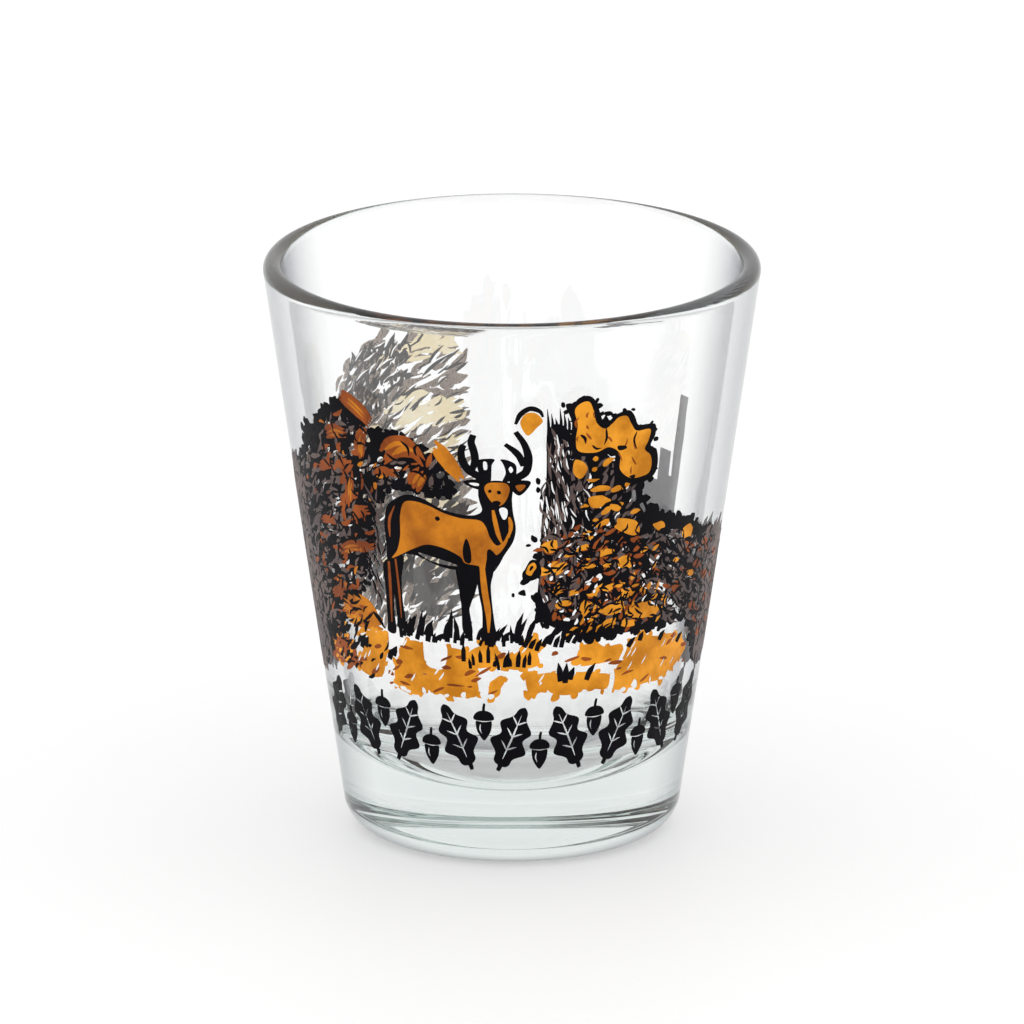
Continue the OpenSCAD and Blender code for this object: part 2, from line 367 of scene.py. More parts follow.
def noise(tree, scale, detail=3.0, rough=0.55):
    """Noise over the object's own space, in metres."""
    place = tree.nodes.new("ShaderNodeTexCoord")
    tex = tree.nodes.new("ShaderNodeTexNoise")
    tex.inputs["Scale"].default_value = scale
    tex.inputs["Detail"].default_value = detail
    tex.inputs["Roughness"].default_value = rough
    tree.links.new(place.outputs["Object"], tex.inputs["Vector"])
    return tex


def ramp(tree, source, stops):
    """A colour ramp; stops are (position, colour)."""
    node = tree.nodes.new("ShaderNodeValToRGB")
    bar = node.color_ramp.elements
    while len(bar) < len(stops):
        bar.new(0.5)
    for element, (position, colour) in zip(bar, stops):
        element.position = position
        element.color = colour
    tree.links.new(source, node.inputs["Fac"])
    return node.outputs["Color"]


def bump(tree, source, strength, distance):
    node = tree.nodes.new("ShaderNodeBump")
    node.inputs["Strength"].default_value = strength
    node.inputs["Distance"].default_value = distance
    tree.links.new(source, node.inputs["Height"])
    return node.outputs["Normal"]


def glass_material():
    """Clear soda-lime glass with painted shade at grazing edges (its tint turns dark where it is seen
    edge-on), grey-green in its thickness, slightly wavy.
    """
    material, tree, shader = node_material("clear_glass")
    # Painted shade: the transmission tint darkens towards black where the glass is seen edge-on, standing in
    # for the dark rim and side edges that clear glass takes from dark surroundings
    grazing_shade = tree.nodes.new("ShaderNodeLayerWeight")
    grazing_shade.inputs["Blend"].default_value = 0.5
    tone = ramp(tree, grazing_shade.outputs["Facing"], [
        (0.45, (1, 1, 1, 1)), (0.75, (0.3, 0.31, 0.33, 1)), (1.0, (0.02, 0.02, 0.025, 1))])
    tree.links.new(tone, shader.inputs["Base Color"])
    shader.inputs["Transmission Weight"].default_value = 1.0
    shader.inputs["IOR"].default_value = 1.52
    waves = noise(tree, 90, 2.0)
    tree.links.new(bump(tree, waves.outputs["Fac"], 0.06, 0.0004), shader.inputs["Normal"])
    haze = noise(tree, 400, 4.0)
    haze_level = ramp(tree, haze.outputs["Fac"], [(0.45, (0, 0, 0, 1)), (0.9, (0.03,) * 3 + (1,))])
    tree.links.new(haze_level, shader.inputs["Roughness"])
    tint = tree.nodes.new("ShaderNodeVolumeAbsorption")
    tint.inputs["Color"].default_value = (0.785, 0.835, 0.822, 1)
    tint.inputs["Density"].default_value = 38.0
    tree.links.new(tint.outputs["Volume"], tree.nodes["Material Output"].inputs["Volume"])
    return material


def ink_material(name, pale, deep, specular, clear=0.0, rough=(0.34, 0.56)):
    """Fired enamel ink: uneven pigment, a slightly rough glaze and the screen's fine texture.

    clear is the share of light that comes through where the ink is printed thin.
    """
    material, tree, shader = node_material(name)
    cloud = noise(tree, 260, 5.0, 0.6)
    colour = ramp(tree, cloud.outputs["Fac"], [(0.38, deep), (0.62, pale)])
    tree.links.new(colour, shader.inputs["Base Color"])
    grain = noise(tree, 3000, 3.0)
    smoothest, roughest = [(level,) * 3 + (1,) for level in rough]
    gloss = ramp(tree, grain.outputs["Fac"], [(0.3, smoothest), (0.7, roughest)])
    tree.links.new(gloss, shader.inputs["Roughness"])
    tree.links.new(bump(tree, grain.outputs["Fac"], 0.25, 0.00002), shader.inputs["Normal"])
    shader.inputs["Specular IOR Level"].default_value = specular
    shader.inputs["Transmission Weight"].default_value = clear
    return material


# ---------------------------------------------------------------- the stag


def stag():
    """A standing stag that looks out of the picture, facing right."""
    d = Drawing()
    # Far legs, then near legs
    d.paint("black",
            smooth([(-12.9, 31.2), (-13, 28.4), (-13.1, 25.2), (-13.2, 24), (-12.2, 24), (-12.2, 26.4),
                    (-11.9, 29), (-11.4, 31.6)]),
            smooth([(-12.2, 32), (-12, 28.6), (-11.9, 26), (-11.9, 24.6), (-11, 24.8), (-11.1, 27.6),
                    (-11, 30), (-10.6, 32.2)]),
            smooth([(-5.2, 32), (-5.1, 29.6), (-4.9, 27.4), (-4.9, 25.4), (-4.6, 24.7), (-3.9, 24.8),
                    (-4, 26.2), (-4.1, 27.6), (-3.5, 29.2), (-3.1, 31.8)]),
            smooth([(-3.3, 31.8), (-3.2, 29.4), (-2.9, 27.4), (-2.9, 25.6), (-3, 24.2), (-1.5, 24.1),
                    (-1.7, 26), (-1.9, 28), (-2, 30), (-1.8, 31.6)]))
    # Body with its heavy outline
    d.paint("black", smooth([
        (-12.4, 33), (-12.4, 35.2), (-12, 37), (-11.2, 38), (-10.2, 38.6), (-9.2, 38.8), (-8, 38.5),
        (-6.9, 37.9), (-5.8, 37.5), (-4.6, 37.3), (-3.4, 37.3), (-2.7, 37.8), (-2.9, 38.8),
        (-3, 39.6), (-2.8, 40.6), (-1.4, 41), (0, 40.6), (0, 39), (0.1, 37.6), (0.35, 36),
        (0.1, 34.6), (-0.7, 33.2), (-1.3, 32), (-2.1, 31.1), (-3.4, 31.4), (-5, 31.4),
        (-7, 31.7), (-9.2, 32.5), (-10.6, 32.4), (-11.4, 31.4), (-12.4, 31.2)]))
    # White of the belly
    d.paint(None,
            smooth([(-9, 32.85), (-7.4, 32.55), (-5.6, 32.1), (-5.2, 31.85), (-6.4, 31.85), (-8, 32.2)]))
    # Coat
    d.paint("orange", smooth([
        (-11.9, 31.8), (-11.2, 32.8), (-10.75, 34.4), (-10.6, 36.4), (-10.1, 37.9), (-9, 38.2),
        (-7.6, 37.9), (-6.2, 37.3), (-4.6, 36.9), (-3, 36.8), (-2.4, 36.2), (-2, 35),
        (-1.4, 34.2), (-0.8, 34.6), (-0.3, 35.6), (-0.5, 34.4), (-1.4, 33.2), (-2.1, 33.8),
        (-2.4, 32.4), (-2.6, 31.6), (-3.2, 32), (-4.4, 32.2), (-4.9, 32.9), (-6.4, 33.6),
        (-8, 33.8), (-9.4, 33.2), (-10.6, 32.5)]))
    # Neck: light strokes between dark ones, and the lit edge of a leg
    d.paint("orange",
            stroke([(-1.7, 37.9), (-1.5, 36.6), (-1.2, 35.2), (-0.8, 34.2)], 0.42, 0.6, 0.3),
            stroke([(-0.25, 37.2), (-0.1, 36.2), (-0.3, 35)], 0.38, 0.5, 0.3),
            stroke([(-2.8, 32), (-2.6, 29.4), (-2.3, 27), (-2.3, 25)], 0.62, 0.8, 0.3))
    d.paint("black",
            stroke([(-1.1, 37.4), (-0.95, 36.2), (-0.6, 34.9)], 0.3),
            stroke([(-2.2, 37.6), (-2, 36.2), (-1.6, 34.9)], 0.4, 0.8, 0.2),
            smooth([(-4.5, 32.6), (-4.55, 33.8), (-4.2, 34.8), (-3.85, 33.8), (-3.8, 32.5), (-4.1, 32.2)]),
            smooth([(-2.25, 33.7), (-1.7, 33.5), (-1.2, 32.4), (-2, 31.4), (-2.3, 32.4)]),
            smooth([(-7.1, 36.7), (-6.8, 36.9), (-6.6, 36.6), (-6.9, 36.4)], 3))
    d.paint("rust",
            stroke([(-12.3, 31.4), (-12.4, 28.6), (-12.6, 25)], 0.34, 0.8, 0.4),
            stroke([(-11.5, 31.8), (-11.4, 28.6), (-11.4, 25.6)], 0.26, 0.8, 0.3),
            stroke([(-11.9, 34), (-11.8, 35.8), (-11.1, 37.4)], 0.3, 0.3, 0.3))
    # White of the throat
    d.paint(None, smooth([
        (-1.15, 38), (-0.75, 38.2), (-0.4, 37.9), (-0.45, 37.2), (-0.7, 36.9), (-0.95, 37.2)]))
    # Face
    d.paint("orange", smooth([
        (-2.45, 40.1), (-2.1, 40.7), (-1.3, 40.8), (-0.5, 40.7), (-0.2, 40.1), (-0.45, 39.1),
        (-0.9, 38.45), (-1.4, 38.4), (-2, 39)]))
    d.paint("black",
            smooth([(-1.35, 39.85), (-1.1, 39.95), (-0.95, 39.7), (-1.2, 39.55)], 3),
            smooth([(-2.1, 39.95), (-1.9, 40.05), (-1.8, 39.8), (-2.05, 39.7)], 3),
            smooth([(-1.75, 38.75), (-1.35, 38.9), (-1, 38.7), (-1.2, 38.35), (-1.6, 38.35)], 3),
            stroke([(-2.7, 38.9), (-2.3, 38.3), (-1.6, 38.2)], 0.4, 0.8, 0.5))
    # Ears
    d.paint("black",
            smooth([(-2.5, 40.9), (-3.4, 41.05), (-4.3, 40.75), (-3.6, 40.2), (-2.6, 40.05)]),
            smooth([(-0.2, 40.9), (0.7, 41.05), (1.65, 40.85), (1.2, 39.9), (0.6, 39.45), (0, 40)]))
    d.paint(None, smooth([(-2.95, 40.65), (-3.5, 40.7), (-3.85, 40.62), (-3.4, 40.4), (-2.95, 40.4)], 3))
    d.paint("orange", smooth([(0.3, 40.45), (0.8, 40.6), (1.2, 40.5), (0.95, 40.05), (0.6, 39.9)], 3))
    # Antlers: each a heavy beam with two tines
    d.paint("black",
            stroke([(-2.4, 41), (-3.1, 41.5), (-3.8, 42), (-4.3, 42.9), (-4.4, 43.9),
                    (-4.15, 44.6)], 0.74, 1, 0.7),
            stroke([(-3.5, 42), (-3.2, 43), (-3.3, 44), (-3.5, 44.9), (-3.3, 45.7)], 0.7, 0.8, 0.8),
            smooth([(-2.6, 40.9), (-3, 42.2), (-3.05, 43), (-2.3, 43.25), (-1.5, 43.2), (-1.75, 42.6),
                    (-1.8, 41.6), (-1.9, 40.9)]),
            smooth([(-0.8, 40.9), (-0.55, 41.8), (-0.75, 42.7), (-1, 43.2), (-0.4, 43.15), (0.3, 42.7),
                    (0.4, 41.9), (0.2, 41.1)]),
            stroke([(-0.1, 41), (0.6, 41.4), (1.2, 41.9), (1.4, 42.8), (1.35, 43.8), (1, 44.9),
                    (0.3, 46.1)], 0.75, 1, 0.6),
            stroke([(0.9, 42.5), (0.7, 43.4), (0.2, 44.1), (-0.6, 44.8)], 0.62, 0.5, 0.6))
    d.paint(None,
            smooth([(-2.45, 42.1), (-2.5, 42.9), (-2.2, 42.9), (-2.15, 42.2)], 3),
            smooth([(-0.3, 42.2), (-0.1, 42.5), (0.1, 42.1), (-0.1, 41.8)], 3))
    return d


# ---------------------------------------------------------------- trees


def leafy_edge(d, rng, outline, ink, gap, size):
    """Breaks the edge of a mass of foliage with small leaves."""
    loop = smooth(outline, 8)
    length = np.cumsum(np.linalg.norm(np.diff(loop, axis=0), axis=1))
    for s in np.arange(0, length[-1], gap):
        at = loop[np.searchsorted(length, s)] + (rng.uniform(-0.25, 0.25), rng.uniform(-0.25, 0.25))
        w = size * rng.uniform(0.6, 1.4)
        d.paint(ink, patch(rng, at, (w, w * 0.7), rng.uniform(0, 180)))


def scatter(rng, outline, count, gap):
    """Random places inside an outline, no two closer than the gap."""
    loop = smooth(outline, 4)
    low, high = loop.min(0), loop.max(0)
    found = []
    for _ in range(count * 30):
        p = np.array([[rng.uniform(low[0], high[0]), rng.uniform(low[1], high[1])]])
        if inside(loop, p)[0] and all(np.linalg.norm(p[0] - q) > gap for q in found):
            found.append(p[0])
        if len(found) == count:
            break
    return found


def scatter_line(rng, start, end, least, most):
    """Places from start to end with uneven steps between them."""
    found = [start]
    while found[-1] < end:
        found.append(found[-1] + rng.uniform(least, most))
    return found


def dabs(d, rng, outline, ink, count, size, lean, spread=35, gap=0.5):
    """Scatters short tapered brush strokes that lean one way; size is (length, width)."""
    for at in scatter(rng, outline, count, gap):
        a = math.radians(lean + rng.uniform(-spread, spread))
        step = np.array([math.cos(a), math.sin(a)]) * size[0] * rng.uniform(0.5, 1.4) / 2
        bend = np.array([-step[1], step[0]]) * rng.uniform(-0.35, 0.35)
        d.paint(ink, stroke([at - step, at + bend, at + step], size[1] * rng.uniform(0.6, 1.3)))


def blade(d, rng, ink, path, width, strands=3):
    """A ragged leaf: brush strokes side by side along a path, each with its own ends."""
    p = np.array(path, float)
    along = p[-1] - p[0]
    side = np.array([-along[1], along[0]]) / np.linalg.norm(along)
    for k in range(strands):
        shift = side * width * (k / max(strands - 1, 1) - 0.5) * 0.75
        slip = along * rng.uniform(-0.13, 0.13)
        d.paint(ink, stroke(p + shift + slip, width * rng.uniform(0.45, 0.7), rng.uniform(0.1, 0.4),
                            rng.uniform(0.05, 0.3)))


def veins(d, rng, outline, ink, count, length, width):
    """Scatters short curved pen strokes over an area."""
    for at in scatter(rng, outline, count, 0.5):
        a = rng.uniform(0, 2 * math.pi)
        step = np.array([math.cos(a), math.sin(a)]) * length * rng.uniform(0.6, 1.3) / 2
        bend = np.array([-step[1], step[0]]) * rng.uniform(-0.5, 0.5)
        d.paint(ink, stroke([at - step, at + bend, at + step], width))


def left_tree():
    """The dense tree on the left: rusty leaves over black, charcoal towards the side, and a painted pale band
    at its far edge.
    """
    rng = random.Random(11)
    d = Drawing()
    mass = [
        (-28.4, 18.2), (-30, 21.4), (-30.6, 27), (-30.2, 32.6), (-28.4, 36.4), (-25.4, 38.8),
        (-23.2, 40.6), (-22.4, 43), (-20.4, 43.8), (-19, 45.2), (-17.4, 46.4), (-15.6, 46.8),
        (-13.6, 45.6), (-12.6, 44.9),
        (-10.8, 45), (-8.6, 44.4), (-7.6, 43.2), (-6.6, 43), (-5.7, 41.2), (-5.4, 39.2), (-7.4, 39.2),
        (-9, 39.4), (-10.6, 39.6), (-12.2, 38.8), (-13.4, 37), (-14, 34.6), (-14, 32.6), (-15.4, 30.4),
        (-16.2, 27.4), (-17, 26.2), (-19.4, 24), (-20.2, 22.4), (-22.8, 21.2), (-23.8, 19.4),
        (-25.6, 17.9)]
    d.paint("black", smooth(mass))
    leafy_edge(d, rng, mass, "black", 0.9, 1.1)
    # Bare glass between the branches
    gaps = [
        (-18.9, 29.7, 1.3, 0.9, 30), (-19.6, 34.6, 1.6, 0.5, 25), (-14.2, 40.9, 2, 0.6, 55),
        (-15.3, 42.3, 0.7, 1.3, -10), (-17.5, 41.4, 0.9, 0.6, 20), (-12.2, 42, 0.9, 0.5, 40),
        (-10.5, 41.3, 1, 0.5, 30), (-13.5, 44.2, 0.6, 1.6, 15), (-6.3, 41.3, 0.7, 0.9, -40),
        (-14.3, 37.6, 0.9, 1, 0), (-18.7, 32.7, 1.2, 0.4, 35), (-21.4, 37.4, 1.4, 0.4, 30),
        (-22, 32.6, 1.4, 0.4, 20), (-21, 28.4, 1.8, 0.6, 15), (-16.6, 28.8, 0.9, 0.7, 50),
        (-24.4, 38.4, 1.4, 0.4, 30), (-25.6, 34.6, 1.6, 0.4, 25), (-24.4, 29.8, 1.2, 0.4, 20),
        (-26, 27.2, 1.4, 0.4, 15), (-26.2, 22.6, 1.6, 0.5, 20)]
    patches(d, rng, None, gaps)
    dabs(d, rng, mass, None, 60, (0.9, 0.3), 40)
    # Soft charcoal at the side of the glass, rusty leaves nearer the front
    side = [(-29, 20), (-29.4, 30), (-28, 36), (-24, 39.6), (-19, 42), (-17.6, 38), (-18, 32), (-19, 25),
            (-20.6, 23), (-23.4, 21.8), (-26, 19.4)]
    front = [(-20, 43), (-18, 45.2), (-15.6, 46.2), (-12.4, 44.2), (-8, 43.6), (-6.4, 41), (-8, 40),
             (-12, 39.8), (-13.8, 37), (-14.6, 32), (-16.8, 27), (-20, 26), (-19.4, 32), (-18, 38)]
    dabs(d, rng, side, "shade", 170, (1.7, 0.46), 40, 30, 0.45)
    dabs(d, rng, side, None, 26, (1.5, 0.22), 30, 20, 0.8)
    dabs(d, rng, side, "rust", 22, (1.2, 0.4), 40, 40)
    # Painted reflection: paler shade strokes along the far edge of the tree stand in for the pale band the
    # glass shows where it turns away at its side, with the far side refracted through it
    outer = [(-31, 18.4), (-31, 33), (-28.8, 37), (-26.6, 38.8), (-25, 36), (-24.8, 28), (-24.2, 19)]
    dabs(d, rng, outer, "shade", 190, (2.6, 0.95), 75, 25, 0.4)
    dabs(d, rng, front, "shade", 70, (1.2, 0.4), 45, 45)
    dabs(d, rng, front, "rust", 30, (1.6, 0.5), 60, 40, 0.6)
    # Lit leaves
    leaves = [
        ([(-18.7, 43.2), (-17.4, 43.8), (-15.9, 43.9)], 1.1),
        ([(-14.5, 41.6), (-14.4, 43), (-13.8, 44.8)], 0.9),
        ([(-11.9, 42.3), (-10.6, 43.6), (-8.9, 43.8), (-7.9, 42.6)], 1.7),
        ([(-9, 39.6), (-8.6, 40.6), (-7.9, 41.6)], 1.3),
        ([(-17.5, 39.8), (-16.6, 40.4), (-15.8, 41)], 1.1),
        ([(-16.6, 36.4), (-16.3, 38), (-16, 39.8)], 0.8),
        ([(-16.2, 35.4), (-15.2, 36), (-14, 36.4)], 0.9),
        ([(-19, 31), (-17, 32), (-15.2, 32.3), (-13.6, 33)], 0.9),
        ([(-12.9, 40.4), (-11.8, 40.9), (-10.6, 40.7)], 0.7),
        ([(-19.4, 27), (-18.2, 27.6), (-16.8, 27.7)], 0.6),
        ([(-20.9, 39), (-19.4, 39.8), (-18.4, 40)], 0.8),
        ([(-21.6, 33.6), (-20, 34), (-19, 34)], 0.7),
        ([(-21.2, 26), (-20, 26.6), (-19, 26.8)], 0.8)]
    for path, width in leaves:
        blade(d, rng, "rust", path, width)
    glints = [
        ([(-18.2, 43.3), (-17.2, 43.7), (-16.3, 43.7)], 0.5),
        ([(-11.3, 42.9), (-10, 43.8), (-8.8, 43.6)], 0.8),
        ([(-8.8, 39.9), (-8.4, 40.6), (-8, 41.2)], 0.7),
        ([(-18.2, 31.3), (-17, 31.8), (-16, 32)], 0.5),
        ([(-14.4, 42), (-14.3, 43), (-14, 44)], 0.4),
        ([(-16.4, 37), (-16.2, 38.2), (-16, 39)], 0.35)]
    for path, width in glints:
        blade(d, rng, "orange", path, width, 2)
    dabs(d, rng, front, "orange", 12, (0.9, 0.34), 45, 45)
    veins(d, rng, mass, "black", 200, 1.3, 0.26)
    # The tuft at the top, the falling leaf and the low bush
    blade(d, rng, "rust", [(-15.9, 47.8), (-14.8, 47.2), (-13.6, 46.4), (-12.8, 45.5)], 1.3, 4)
    blade(d, rng, "orange", [(-15.1, 47.4), (-14.2, 46.8), (-13.4, 46.1)], 0.5, 2)
    blade(d, rng, "orange", [(-6.8, 44.2), (-6, 43.3), (-5.2, 42.2), (-4.5, 41.2)], 1.1, 4)
    root_u, root_z = -14.4, 24.5
    for tip_u, tip_z in [(-19.8, 25), (-19.4, 24.2), (-19, 25.9), (-18, 26.4), (-16.8, 26.5)]:
        bend = ((tip_u + root_u) / 2, tip_z * 0.55 + 11.1)
        blade(d, rng, "orange", [(root_u, root_z), bend, (tip_u, tip_z)], 1.4, 3)
    bush = [(-19.4, 24.2), (-18.4, 26.2), (-15.4, 25.6), (-15.2, 24.4)]
    dabs(d, rng, bush, "rust", 9, (1, 0.3), 20, 30)
    bush_side = [(-20.4, 23.2), (-19.4, 26.4), (-15.6, 26.2), (-15.2, 24.2)]
    dabs(d, rng, bush_side, "black", 16, (1.4, 0.3), 30, 30, 0.6)
    # Pen shading between the trunk and the stag
    gap = [(-14.2, 39), (-12.9, 38), (-12.8, 33.4), (-13.2, 30), (-14.2, 27), (-15.2, 30.6),
           (-13.8, 33), (-13.9, 36)]
    dabs(d, rng, gap, "shade", 26, (1.6, 0.2), 100, 25, 0.3)
    dabs(d, rng, gap, "black", 20, (1.6, 0.16), 105, 25, 0.3)
    d.paint("black",
            patch(rng, (-14.8, 29.3), (0.9, 0.5), 40, 3),
            patch(rng, (-15.1, 28.5), (0.7, 0.5), 10, 3),
            stroke([(-14.9, 25.6), (-14.2, 25), (-13.6, 24.1)], 0.5),
            patch(rng, (-15.9, 34), (1.9, 1), 5, 5))
    return d


def right_tree():
    """The tall tree on the right: a hatched trunk, a bright crown and mottled leaves below it."""
    rng = random.Random(23)
    d = Drawing()
    # Trunk, hatched with bare lines
    trunk = [(2.7, 26.4), (2.6, 32), (2.7, 37), (3, 41), (3, 44.6), (3.3, 46.6), (4.4, 46.6), (5.4, 45),
             (6.6, 43.4), (7, 38), (7, 30), (6.6, 26.4)]
    d.paint("black", smooth(trunk))
    for k in range(7):
        u = 3 + k * 0.36
        d.paint("black", stroke([(u, 44), (u + 0.1, 46.4), (u - 0.05, 48.4 - (k % 3) * 0.5)], 0.26))
    for _ in range(70):
        u = rng.uniform(2.7, 6.4)
        z = rng.uniform(29, 46.4)
        d.paint(None, stroke([(u, z), (u + 0.15, z - 0.9), (u + 0.4, z - rng.uniform(1.2, 2.6))], 0.15))
    # Lower mass
    mass = [
        (5.4, 42.8), (6.8, 43.4), (8.4, 43.2), (9.6, 41.6), (11.6, 39.8), (12.6, 38), (13.4, 36.8),
        (15, 36), (17, 35.1), (18.8, 34.4), (20.4, 33.6), (22, 32.5), (25.6, 31.4), (28, 30),
        (29.6, 27.6), (30.2, 24.4), (29.8, 21), (28.6, 18.6), (26.8, 17.9), (24, 19),
        (22.4, 22), (20.4, 24), (16.4, 23.8),
        (12, 24), (8, 24), (4.6, 25.2), (2.4, 26.8), (2.6, 29), (3.2, 30.2), (2.2, 31), (2.4, 33),
        (3, 35), (5, 36.4)]
    d.paint("black", smooth(mass))
    leafy_edge(d, rng, mass, "black", 0.8, 1)
    gaps = [
        (11.5, 38.3, 0.6, 1.3, 0), (16.2, 28, 1.6, 0.7, -40), (14.6, 28.4, 0.9, 0.7, 10),
        (17.6, 25.8, 2.4, 0.9, -35), (19.2, 24.8, 2, 0.5, -35), (12.6, 37, 0.4, 1.2, 30),
        (15.2, 31.3, 0.9, 0.5, 30), (12, 31, 0.8, 0.5, 20), (13.4, 29.6, 0.7, 0.6, 60),
        (4.6, 33, 0.6, 0.5, 0), (8.4, 30.4, 0.7, 0.5, 20), (6, 30.6, 0.6, 0.6, 0),
        (3.2, 28.6, 0.6, 0.8, 10), (16.8, 33.6, 1, 0.4, -30), (5.4, 26.2, 0.7, 0.4, 0),
        (20.8, 30.4, 1.2, 0.5, -30), (22.8, 26, 1.6, 0.5, -30), (24.4, 29.4, 1.2, 0.5, -20),
        (26, 25, 1.2, 0.6, -30), (24.8, 22, 1.4, 0.5, -20), (27.6, 28, 1, 0.6, -20)]
    patches(d, rng, None, gaps)
    lower = [
        (3.2, 34.6), (7, 36), (12, 35.4), (16, 34), (19.8, 32.4), (26, 30.4), (28.6, 28), (28.4, 20.6),
        (24.8, 20.8), (20.6, 24.4), (15.6, 25), (8, 24.8), (4, 26), (3, 30)]
    middle = [(5.6, 42.4), (8.4, 42.6), (10, 40.2), (12, 38.6), (11.6, 35.6), (7, 35.6), (6.2, 39)]
    trunk_foot = [(3, 34.6), (6.6, 34.6), (7, 37), (6.4, 40), (3.2, 40)]
    near = [(3, 34.6), (7, 36), (12, 35.4), (14.6, 34), (14.6, 25), (8, 24.8), (4, 26), (3, 30)]
    far = [(14.6, 34), (19.8, 32.4), (25.6, 30.6), (28.2, 28.4), (29.2, 24.4), (28, 20),
           (24.8, 20.2), (20.6, 24), (15.6, 25)]
    bark = [(2.8, 28), (2.9, 40), (3.4, 46), (4.8, 45), (6.4, 43), (6.8, 36), (6.4, 28)]
    dabs(d, rng, bark, "shade", 120, (2, 0.22), 95, 20, 0.25)
    dabs(d, rng, trunk_foot, None, 12, (1.6, 0.14), 105, 20, 0.3)
    dabs(d, rng, near, None, 50, (0.8, 0.3), 40)
    dabs(d, rng, middle, None, 9, (0.8, 0.3), 60)
    dabs(d, rng, middle, "shade", 34, (1, 0.36), 60)
    dabs(d, rng, near, "rust", 110, (1.1, 0.4), 35, 60, 0.45)
    dabs(d, rng, near, "shade", 70, (1, 0.36), 35, 60, 0.45)
    dabs(d, rng, middle, "orange", 12, (1, 0.5), 30)
    dabs(d, rng, far, "shade", 140, (1.9, 0.44), -38, 20, 0.45)
    # Painted reflection: paler shade strokes at the far right edge of the tree stand in for the far side's
    # hill seen round the curve through the glass
    outer = [(25, 19), (24.4, 26), (23, 29), (23, 32), (26, 31.6), (28.4, 30.4), (30, 27.6), (30.6, 24.4),
             (30.2, 20), (28, 18.2)]
    dabs(d, rng, outer, "shade", 130, (2.4, 0.95), 60, 25, 0.4)
    dabs(d, rng, far, "rust", 22, (1.4, 0.36), -38, 25)
    dabs(d, rng, far, None, 34, (1.6, 0.22), -42, 15)
    leaves = [
        (8, 38.4, 2, 1.5, 0), (9.8, 37.6, 1.4, 1.1, 20), (8, 39.6, 1.6, 0.8, 0), (11, 35.3, 3, 1.6, -25),
        (14.8, 34.6, 1.4, 0.9, -20), (19.2, 33.1, 1.7, 1.9, 0), (3.6, 34, 1.8, 1.3, 20),
        (6.6, 33.6, 1.2, 0.9, 0), (9, 32.8, 1.5, 0.8, 10), (11.2, 31.4, 1.6, 1.7, 0),
        (7.1, 27.3, 0.9, 1.6, 0), (10.4, 26.8, 2.4, 1.2, 10), (9.4, 29, 1.7, 0.9, 10),
        (13.5, 26, 3, 2.3, -10), (12.2, 24.9, 1.8, 1.1, 0), (15.1, 25.6, 1.6, 1.5, 20),
        (7.4, 24.9, 1.2, 0.9, 0), (9.8, 25.3, 1.7, 1, 10), (5, 27.9, 1.6, 0.8, 15), (4.5, 31.6, 1.4, 1.1, 30),
        (3.1, 31.4, 0.9, 1.2, 0), (8.4, 36, 1.6, 0.9, 10), (7.2, 34.6, 0.9, 0.7, 0), (5.4, 33, 1, 0.6, 20),
        (7.2, 31.6, 1.5, 0.6, 0), (9.2, 31.4, 1.1, 0.6, 10), (6, 29, 1.1, 0.7, 10), (4.4, 29.2, 1.2, 0.6, 20),
        (13.2, 32.4, 1, 0.6, 20), (17.8, 30.4, 1.2, 0.6, -20), (20.6, 28.4, 1.4, 0.8, -30),
        (11.8, 28.4, 1, 0.7, 0), (9.6, 39.4, 1.1, 0.7, 20), (8.6, 37.2, 0.9, 0.6, 20)]
    for u, z, w, h, tilt in leaves:
        d.paint("orange", patch(rng, (u, z), (w, h * 0.85), tilt, 4, 0.34))
    side_leaves = [
        (18.4, 27.6, 1.4, 0.8, -30), (21.6, 29, 1.5, 0.9, -25), (23.8, 27.4, 1.6, 1, -25),
        (26.2, 29, 1.3, 0.8, -20), (22, 24.6, 1.6, 0.9, -30), (25.2, 24.6, 1.5, 1, -25),
        (27.6, 25.6, 1.2, 0.9, -20), (24.6, 21.2, 1.6, 0.9, -15), (27.2, 21.8, 1.3, 0.9, -20),
        (22.8, 31, 1.2, 0.7, -20)]
    patches(d, rng, "rust", side_leaves, 4)
    foot = [(4, 25), (8, 28.4), (13, 30), (17, 28), (17.4, 25), (12, 24.4), (8, 24.4)]
    dabs(d, rng, foot, "orange", 34, (1, 0.42), 40, 50)
    dabs(d, rng, near, "orange", 14, (0.8, 0.36), 35, 60)
    veins(d, rng, lower, "black", 330, 1.2, 0.24)
    veins(d, rng, mass, "black", 60, 1.4, 0.3)
